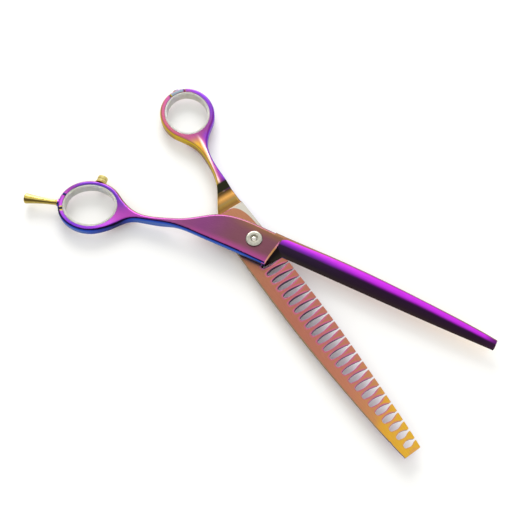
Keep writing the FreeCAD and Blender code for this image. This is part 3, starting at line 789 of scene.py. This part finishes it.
@dataclass
class Shape:
    """A mesh in the making, and the finish that each of its parts wears.

    Args:
        name: the object's name.
        body: the body that it rides on.
        slot: its material slot in the record; not used.
    """

    name: str
    body: Body
    slot: Slot
    mesh: bmesh.types.BMesh = field(default_factory=bmesh.new)
    finishes: list[Finish] = field(default_factory=list)

    def wear(self, faces: list[bmesh.types.BMFace], finish: Finish) -> None:
        """Give some faces a finish.

        Args:
            faces: the faces.
            finish: what they wear.
        """
        if finish not in self.finishes:
            self.finishes.append(finish)
        for face in faces:
            face.material_index = self.finishes.index(finish)

    def lathe(self, outline: list[tuple[float, float]], finish: Finish, steps: int = 96, closed: bool = False,
              round_to: Matrix | None = None) -> list[bmesh.types.BMFace]:
        """Turn an outline of radius and height, in mm, about Z.

        Args:
            outline: the points of the outline, from one end to the other.
            finish: what its faces wear.
            steps: how many steps the full turn takes.
            closed: whether the outline's last point joins its first.
            round_to: where the turned piece goes; the piece's own frame when left out.

        Returns:
            The faces made.
        """
        before = set(self.mesh.faces)
        points = [self.mesh.verts.new((radius * MM, 0.0, height * MM)) for radius, height in outline]
        pairs = list(zip(points, points[1:])) + ([(points[-1], points[0])] if closed else [])
        edges = [self.mesh.edges.new(pair) for pair in pairs]
        bmesh.ops.spin(self.mesh, geom=points + edges, cent=(0, 0, 0), axis=(0, 0, 1), angle=math.tau,
                       steps=steps, use_merge=True)
        bmesh.ops.remove_doubles(self.mesh, verts=self.mesh.verts, dist=1e-7)
        faces = [face for face in self.mesh.faces if face not in before]
        bmesh.ops.recalc_face_normals(self.mesh, faces=faces)
        self.wear(faces, finish)
        if round_to is not None:
            verts = list({vert for face in faces for vert in face.verts})
            bmesh.ops.transform(self.mesh, matrix=round_to, verts=verts)
        return faces

    def build(self, smooth_angle: float = 38.0) -> bpy.types.Object:
        """Turn the mesh into an object that rides on its body.

        Args:
            smooth_angle: the angle between faces past which an edge stays sharp, in degrees.

        Returns:
            The object.
        """
        data = bpy.data.meshes.new(self.name)
        bmesh.ops.recalc_face_normals(self.mesh, faces=self.mesh.faces)
        self.mesh.to_mesh(data)
        self.mesh.free()
        for finish in self.finishes:
            data.materials.append(finish.material())
        data.shade_smooth()
        data.set_sharp_from_angle(angle=math.radians(smooth_angle))
        piece = bpy.data.objects.new(self.name, data)
        bpy.context.scene.collection.objects.link(piece)
        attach(piece, self.body.value)
        return piece


# ------------------------------------------------------------------ sub-assemblies

@dataclass
class ShearHalf:
    """One half of the shears, blade, block, shank and ring, with its soft liner.

    Args:
        steel: the CAD node of the forging.
        liner: the CAD node of the ring's liner.
        body: the body that both belong to; not used.
        coat: the forging's coating.
        soft: the liner's silicone.
    """

    steel: str
    liner: str
    body: Body
    coat: Finish
    soft: Finish

    def dress(self) -> list[bpy.types.Object]:
        """Give the forging its coating and the liner its silicone.

        Returns:
            Both pieces.
        """
        pieces = []
        for node, finish in ((self.steel, self.coat), (self.liner, self.soft)):
            piece = frame["nodes"][node]
            piece.data.materials.clear()
            piece.data.materials.append(finish.material())
            LOG.info("%s wears %s", node, finish.name)
            pieces.append(piece)
        return pieces


@dataclass
class PivotNut:
    """The round nut on top of the pivot, with a bevelled rim and an open bore that shows the screw's end.

    Sizes are in mm, and heights are from the ride plane.
    """

    rim_radius: float = 3.45
    seat: float = 2.5
    top: float = 3.85
    bevel: float = 0.45
    bore: float = 1.6
    bore_floor: float = 2.8
    sleeve_radius: float = 2.5
    sleeve_bottom: float = -3.0
    thread_radius: float = 1.22
    groove: float = 2.35
    finish: Finish = TurnedMetal("nickel_nut", srgb(194, 192, 178), srgb(132, 130, 118), 0.24)

    def outline(self) -> list[tuple[float, float]]:
        """The nut's section, from its bottom edge up, over its top and down its bore.

        Returns:
            The points, as radius and height in mm.
        """
        land = self.rim_radius - self.bevel
        return [
            (self.thread_radius, self.sleeve_bottom), (self.sleeve_radius, self.sleeve_bottom),
            (self.sleeve_radius, self.seat), (self.rim_radius - 0.12, self.seat),
            (self.rim_radius, self.seat + 0.12), (self.rim_radius, self.top - self.bevel),
            (self.rim_radius - 0.05, self.top - self.bevel + 0.12), (land + 0.08, self.top - 0.05),
            (land - 0.02, self.top), (self.groove + 0.12, self.top), (self.groove + 0.06, self.top - 0.05),
            (self.groove - 0.06, self.top - 0.05), (self.groove - 0.12, self.top),
            (self.bore + 0.26, self.top), (self.bore + 0.06, self.top - 0.12), (self.bore, self.top - 0.28),
            (self.bore, self.bore_floor), (self.thread_radius, self.bore_floor)]

    def build(self) -> bpy.types.Object:
        """Turn the nut.

        Returns:
            The piece.
        """
        shape = Shape("pivot_nut_turned", Body.FINGER, Slot.BRIGHT)
        shape.lathe(self.outline(), self.finish, 128, closed=True,
                    round_to=Matrix.Translation(pivot_place()))
        return shape.build(28.0)


@dataclass
class PivotScrew:
    """The screw up the middle of the nut, with a domed bright end and a slotted head under the dial."""

    shank: float = 1.2
    dome: float = 3.45
    dome_height: float = 0.55
    head_radius: float = 2.3
    head_top: float = -4.32
    head_bottom: float = -5.0
    slot_width: float = 0.5
    slot_depth: float = 0.4
    finish: Finish = TurnedMetal("bright_screw", srgb(226, 222, 212), srgb(150, 148, 140), 0.12, 6.0)

    def outline(self) -> list[tuple[float, float]]:
        """The screw's section, from the middle of its head round to the top of its dome.

        Returns:
            The points, as radius and height in mm.
        """
        arc = []
        for step in range(9):
            angle = math.radians(90 * step / 8)
            arc.append((self.shank * math.cos(angle), self.dome - self.dome_height * (1 - math.sin(angle))))
        arc[-1] = (0.0, self.dome)
        return [(0.0, self.head_bottom), (self.head_radius - 0.15, self.head_bottom),
                (self.head_radius, self.head_bottom + 0.15), (self.head_radius, self.head_top),
                (self.shank, self.head_top)] + arc

    def build(self) -> bpy.types.Object:
        """Turn the screw and cut its driver slot.

        Returns:
            The piece.
        """
        shape = Shape("pivot_screw_turned", Body.FINGER, Slot.BRIGHT)
        shape.lathe(self.outline(), self.finish, 64, round_to=Matrix.Translation(pivot_place()))
        piece = shape.build(35.0)
        Cutter(self.slot_width, 2 * self.head_radius + 0.4, self.slot_depth,
               pivot_place() + Vector((0, 0, self.head_bottom * MM))).cut(piece)
        return piece


@dataclass
class Cutter:
    """A straight slot cut across a round underside, in mm, applied at once."""

    width: float
    length: float
    depth: float
    place: Vector

    def cut(self, piece: bpy.types.Object) -> None:
        """Cut the slot into a piece and leave nothing live on it.

        Args:
            piece: the piece to cut.
        """
        bar = bmesh.new()
        bmesh.ops.create_cube(bar, size=1.0)
        size = Matrix.Diagonal((self.length * MM, self.width * MM, 2 * self.depth * MM, 1.0))
        bmesh.ops.transform(bar, matrix=Matrix.Translation(self.place) @ size, verts=bar.verts)
        data = bpy.data.meshes.new("slot_bar")
        bar.to_mesh(data)
        bar.free()
        tool = bpy.data.objects.new("slot_bar", data)
        bpy.context.scene.collection.objects.link(tool)
        cut = piece.modifiers.new("slot", "BOOLEAN")
        cut.operation = "DIFFERENCE"
        cut.solver = "EXACT"
        cut.object = tool
        bpy.context.view_layer.update()
        graph = bpy.context.evaluated_depsgraph_get()
        done = bpy.data.meshes.new_from_object(piece.evaluated_get(graph))
        piece.modifiers.clear()
        piece.data = done
        bpy.data.objects.remove(tool)
        bpy.data.meshes.remove(data)


@dataclass
class FingerRest:
    """The horn that screws into the finger ring: a slim neck that flares to a cupped end.

    Sizes are in mm, and heights are along the horn from its seat on the ring.
    """

    stud: float = 1.25
    stud_length: float = 2.1
    collar: float = 1.45
    neck: float = 1.15
    end: float = 2.2
    length: float = 14.6
    cup: float = 0.55
    # The last two values paint dark reflection stripes along the horn.
    finish: Finish = TurnedMetal("gold_rest", srgb(222, 200, 108), srgb(176, 146, 62), 0.16, 5.0, 0.95,
                                 srgb(84, 66, 24))

    def outline(self) -> list[tuple[float, float]]:
        """The horn's section, from its stud to the bottom of its cup.

        Returns:
            The points, as radius and height in mm.
        """
        flare = []
        start, stop = 1.2, self.length - 0.75
        for step in range(15):
            share = step / 14
            swell = share ** 1.9
            flare.append((self.neck + (self.end - self.neck) * swell, start + (stop - start) * share))
        rim = [(self.end + 0.02, self.length - 0.45), (self.end - 0.06, self.length - 0.18),
               (self.end - 0.24, self.length - 0.03), (self.end - 0.45, self.length),
               (self.end - 0.66, self.length - 0.08)]
        bowl = []
        for share in (0.0, 0.35, 0.7, 1.0):
            sunk = self.cup * (0.35 + 0.65 * math.sin(share * math.pi / 2))
            bowl.append(((self.end - 0.8) * (1 - share), self.length - sunk))
        return [(0.0, -self.stud_length), (self.stud - 0.2, -self.stud_length),
                (self.stud, 0.2 - self.stud_length), (self.stud, 0.0), (self.collar - 0.06, 0.0),
                (self.collar, 0.08), (self.collar, 0.5), (self.collar - 0.08, 0.62),
                (self.neck + 0.06, 0.85)] + flare + rim + bowl

    def build(self) -> bpy.types.Object:
        """Turn the horn and lay it along its axis.

        Returns:
            The piece.
        """
        seat, outward = horn_axis()
        turn = Vector((0, 0, 1)).rotation_difference(outward).to_matrix().to_4x4()
        shape = Shape("finger_rest_turned", Body.HORN, Slot.GOLD)
        shape.lathe(self.outline(), self.finish, 72, round_to=Matrix.Translation(seat) @ turn)
        return shape.build(40.0)


@dataclass
class Bumper:
    """The stop between the rings: a flanged gold seat and the grooved soft cap over its stem.

    Sizes are in mm, and heights are from the ring's flat.
    """

    flange: float = 2.5
    flange_thickness: float = 0.55
    stem: float = 1.0
    stem_length: float = 1.1
    stem_top: float = 2.0
    radius: float = 2.2
    waist: float = 1.9
    waist_height: float = 1.73
    dimple: float = 0.95
    dimple_depth: float = 0.12
    height: float = 3.5
    bearing: float = 100.0
    # The last value paints faint dark reflection stripes on the seat.
    metal: Finish = TurnedMetal("gold_seat", srgb(226, 200, 120), srgb(150, 116, 48), 0.24, 9.0, 0.5)
    cap: Finish = SoftPlastic("bumper_cap_plastic", srgb(226, 214, 140), srgb(186, 164, 82), 0.34, 0.0, 0.12)

    def place(self) -> Matrix:
        """Where the bumper's flange sits and the way that it points.

        Returns:
            The place and turn, as one matrix.
        """
        low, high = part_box("bumper_seat")
        outward = Vector((math.cos(math.radians(self.bearing)), math.sin(math.radians(self.bearing)), 0))
        turn = Vector((0, 0, 1)).rotation_difference(outward).to_matrix().to_4x4()
        leaning = abs(outward.x) / outward.y
        foot = low.y + (self.stem_length * outward.y + self.stem * leaning) * MM
        along = (foot - low.y) / outward.y
        side = high.x - self.flange * outward.y * MM
        LOG.info("bumper stands %.2f mm above the seat's foot", along / MM)
        return Matrix.Translation((side, foot, (low.z + high.z) / 2)) @ turn

    def seat_outline(self) -> list[tuple[float, float]]:
        """The seat's section, from the foot of its stem up over its flange.

        Returns:
            The points, as radius and height in mm.
        """
        thick = self.flange_thickness
        return [(0.0, -self.stem_length), (self.stem - 0.05, -self.stem_length), (self.stem - 0.05, 0.0),
                (self.flange - 0.1, 0.0), (self.flange, 0.1), (self.flange, thick - 0.14),
                (self.flange - 0.14, thick), (self.stem, thick), (self.stem, self.stem_top),
                (0.0, self.stem_top)]

    def cap_outline(self) -> list[tuple[float, float]]:
        """The cap's section, with a waist groove and a rounded top.

        Returns:
            The points, as radius and height in mm.
        """
        play = 0.02
        base = self.flange_thickness + play
        inside = self.stem_top + play
        waist = self.waist_height
        floor = self.height - self.dimple_depth
        edge = 0.5
        top = []
        for step in range(6):
            angle = math.radians(90 * step / 5)
            top.append((self.radius - edge + edge * math.cos(angle),
                        self.height - edge + edge * math.sin(angle)))
        return [(self.stem + 0.03, inside), (self.stem + 0.03, base), (self.radius - 0.15, base),
                (self.radius, base + 0.15), (self.radius, waist - 0.35), (self.radius - 0.06, waist - 0.23),
                (self.waist, waist - 0.13), (self.waist, waist + 0.13), (self.radius - 0.06, waist + 0.23),
                (self.radius, waist + 0.35)] + top + [(self.dimple + 0.15, self.height),
                (self.dimple, floor), (0.0, floor)]

    def build(self) -> list[bpy.types.Object]:
        """Turn the seat and the cap.

        Returns:
            The seat and the cap.
        """
        place = self.place()
        seat = Shape("bumper_seat_turned", Body.FINGER, Slot.GOLD)
        seat.lathe(self.seat_outline(), self.metal, 64, round_to=place)
        cap = Shape("bumper_cap_turned", Body.FINGER, Slot.CAP)
        cap.lathe(self.cap_outline(), self.cap, 72, round_to=place)
        return [seat.build(35.0), cap.build(50.0)]


@dataclass
class TensionDial:
    """The knurled dial under the pivot, with the slotted screw head in its middle.

    Sizes are in mm, and heights are from the ride plane.
    """

    radius: float = 5.7
    top: float = -3.95
    bottom: float = -5.1
    bore: float = 1.4
    well: float = 2.45
    well_depth: float = 0.8
    groove: float = 3.75
    groove_depth: float = 0.06
    grips: int = 36
    grip_depth: float = 0.16
    finish: Finish = TurnedMetal("gold_dial", srgb(222, 184, 92), srgb(158, 116, 44), 0.22, 7.0)

    def outline(self) -> list[tuple[float, float]]:
        """The dial's section, round from its bore.

        Returns:
            The points, as radius and height in mm.
        """
        floor = self.bottom + self.well_depth
        groove_floor = self.bottom + self.groove_depth
        return [(self.bore, self.top), (self.bore, floor), (self.well, floor),
                (self.well, self.bottom + 0.08), (self.well + 0.08, self.bottom),
                (self.groove - 0.15, self.bottom), (self.groove - 0.09, groove_floor),
                (self.groove + 0.09, groove_floor), (self.groove + 0.15, self.bottom),
                (self.radius - 0.4, self.bottom), (self.radius - 0.12, self.bottom + 0.12),
                (self.radius, self.bottom + 0.4), (self.radius, self.top - 0.12),
                (self.radius - 0.1, self.top)]

    def build(self) -> bpy.types.Object:
        """Turn the dial and press its grips in.

        Returns:
            The piece.
        """
        shape = Shape("tension_dial_knurled", Body.DIAL, Slot.GOLD)
        steps = 6 * self.grips
        faces = shape.lathe(self.outline(), self.finish, steps, closed=True)
        rim = {vert for face in faces for vert in face.verts
               if vert.co.xy.length > (self.radius - 0.15) * MM}
        for vert in rim:
            turn = math.atan2(vert.co.y, vert.co.x)
            press = max(0.0, math.cos(self.grips * turn)) ** 2
            vert.co.xy *= 1 - self.grip_depth * press * MM / vert.co.xy.length
        bmesh.ops.transform(shape.mesh, matrix=Matrix.Translation(pivot_place()), verts=shape.mesh.verts)
        return shape.build(30.0)


@dataclass
class SmallRings:
    """The washers, bush and click plate of the pivot, kept from the CAD and given their finishes."""

    metal: Finish = TurnedMetal("washer_steel", srgb(196, 194, 188), srgb(120, 118, 112), 0.28, 5.0)
    plastic: Finish = SoftPlastic("slide_washer_plastic", srgb(232, 230, 220), srgb(206, 202, 186), 0.45,
                                  0.0, 0.05)

    def dress(self) -> list[bpy.types.Object]:
        """Give each small ring its material.

        Returns:
            The pieces.
        """
        pieces = []
        for finish, names in ((self.metal, ("head_washer", "spring_washer", "click_plate")),
                              (self.plastic, ("thrust_washer", "pivot_bush"))):
            for name in names:
                piece = frame["nodes"][name]
                piece.data.materials.clear()
                piece.data.materials.append(finish.material())
                pieces.append(piece)
        return pieces


# ------------------------------------------------------------------ studio

@dataclass
class Studio:
    """The plain white table, the soft lights and the camera over the open shears.

    Lengths are in mm in the frame of the view: across to the right, up the table and above it. The
    key light's power is in watts, and surround is the strength of the white all round.
    """

    turn: float = 25.85
    look: tuple[float, float] = (2.463, -8.307)
    back: float = 134.3
    above: float = 285.1
    lens: float = 52.84
    sensor: float = 36.0
    table_size: float = 8000.0
    table_gap: float = 0.03
    key_place: tuple[float, float, float] = (-80.0, 880.0, 470.0)
    key_size: float = 640.0
    key_power: float = 7.0
    surround: float = 0.94

    def axes(self) -> tuple[Vector, Vector]:
        """The view's across and up-the-table directions on the table."""
        angle = math.radians(self.turn)
        return Vector((math.cos(angle), math.sin(angle), 0)), Vector((-math.sin(angle), math.cos(angle), 0))

    def spot(self, across: float, up: float, above: float) -> Vector:
        """A point in the row frame, from one in the frame of the view about the pivot."""
        right, away = self.axes()
        return pivot_place() + (right * across + away * up + Vector((0, 0, above))) * MM

    def build(self) -> None:
        """Lay the table, hang the lights and set the camera."""
        self.table()
        self.world()
        bpy.context.scene.view_settings.view_transform = "Standard"
        target = self.spot(*self.look, 0.0)
        self.light("key", self.key_place, target, self.key_size, self.key_power)
        data = bpy.data.cameras.new("camera")
        data.lens = self.lens
        data.sensor_width = self.sensor
        data.clip_start = 0.01
        data.clip_end = 50.0
        camera = bpy.data.objects.new("camera", data)
        bpy.context.scene.collection.objects.link(camera)
        camera.location = self.spot(self.look[0], self.look[1] - self.back, self.above)
        camera.rotation_mode = "QUATERNION"
        camera.rotation_quaternion = (target - camera.location).to_track_quat("-Z", "Y")
        bpy.context.scene.camera = camera

    def table(self) -> None:
        """The white table top that the shears lie on."""
        mesh = bmesh.new()
        bmesh.ops.create_grid(mesh, x_segments=2, y_segments=2, size=self.table_size * MM / 2,
                              matrix=Matrix.Translation((0, 0, -self.table_gap * MM)))
        data = bpy.data.meshes.new("table_top")
        mesh.to_mesh(data)
        mesh.free()
        data.materials.append(PaleFloor("table_white").material())
        top = bpy.data.objects.new("table_top", data)
        bpy.context.scene.collection.objects.link(top)

    def world(self) -> None:
        """Soft white light from all round."""
        world = bpy.data.worlds.new("studio")
        world.use_nodes = True
        background = world.node_tree.nodes["Background"]
        background.inputs["Color"].default_value = (1.0, 1.0, 1.0, 1.0)
        background.inputs["Strength"].default_value = self.surround
        bpy.context.scene.world = world

    def light(self, name: str, place: tuple[float, float, float], target: Vector, size: float,
              power: float) -> None:
        """One square soft light that faces the shears.

        Args:
            name: the light's name.
            place: where it hangs, in the frame of the view.
            target: the point that it faces.
            size: its side in mm.
            power: its strength in watts.
        """
        data = bpy.data.lights.new(name, "AREA")
        data.size = size * MM
        data.energy = power
        lamp = bpy.data.objects.new(name, data)
        bpy.context.scene.collection.objects.link(lamp)
        lamp.location = self.spot(*place)
        lamp.rotation_mode = "QUATERNION"
        lamp.rotation_quaternion = (target - lamp.location).to_track_quat("-Z", "Y")


def main() -> None:
    """Build and dress every piece, then the studio."""
    logging.basicConfig(level=logging.INFO)
    silicone = SoftPlastic("liner_silicone", srgb(246, 246, 240), srgb(230, 229, 218), 0.32, 0.6, 0.25)
    halves = [
        ShearHalf("solid_blade", "finger_ring_liner", Body.FINGER, COATS["solid_blade"], silicone),
        ShearHalf("toothed_blade", "thumb_ring_liner", Body.THUMB, COATS["toothed_blade"], silicone),
    ]
    for half in halves:
        half.dress()
    nut = PivotNut().build()
    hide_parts("pivot_nut")
    screw = PivotScrew().build()
    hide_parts("pivot_screw")
    rest = FingerRest().build()
    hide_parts("finger_rest")
    seat, cap = Bumper().build()
    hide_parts("bumper_seat")
    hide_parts("bumper_cap")
    dial = TensionDial().build()
    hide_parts("tension_dial")
    for piece in (nut, screw, rest, seat, cap, dial):
        LOG.info("%s: %d faces", piece.name, len(piece.data.polygons))
    for piece in SmallRings().dress():
        LOG.info("%s dressed", piece.name)
    Studio().build()


if __name__ == "__main__":
    main()
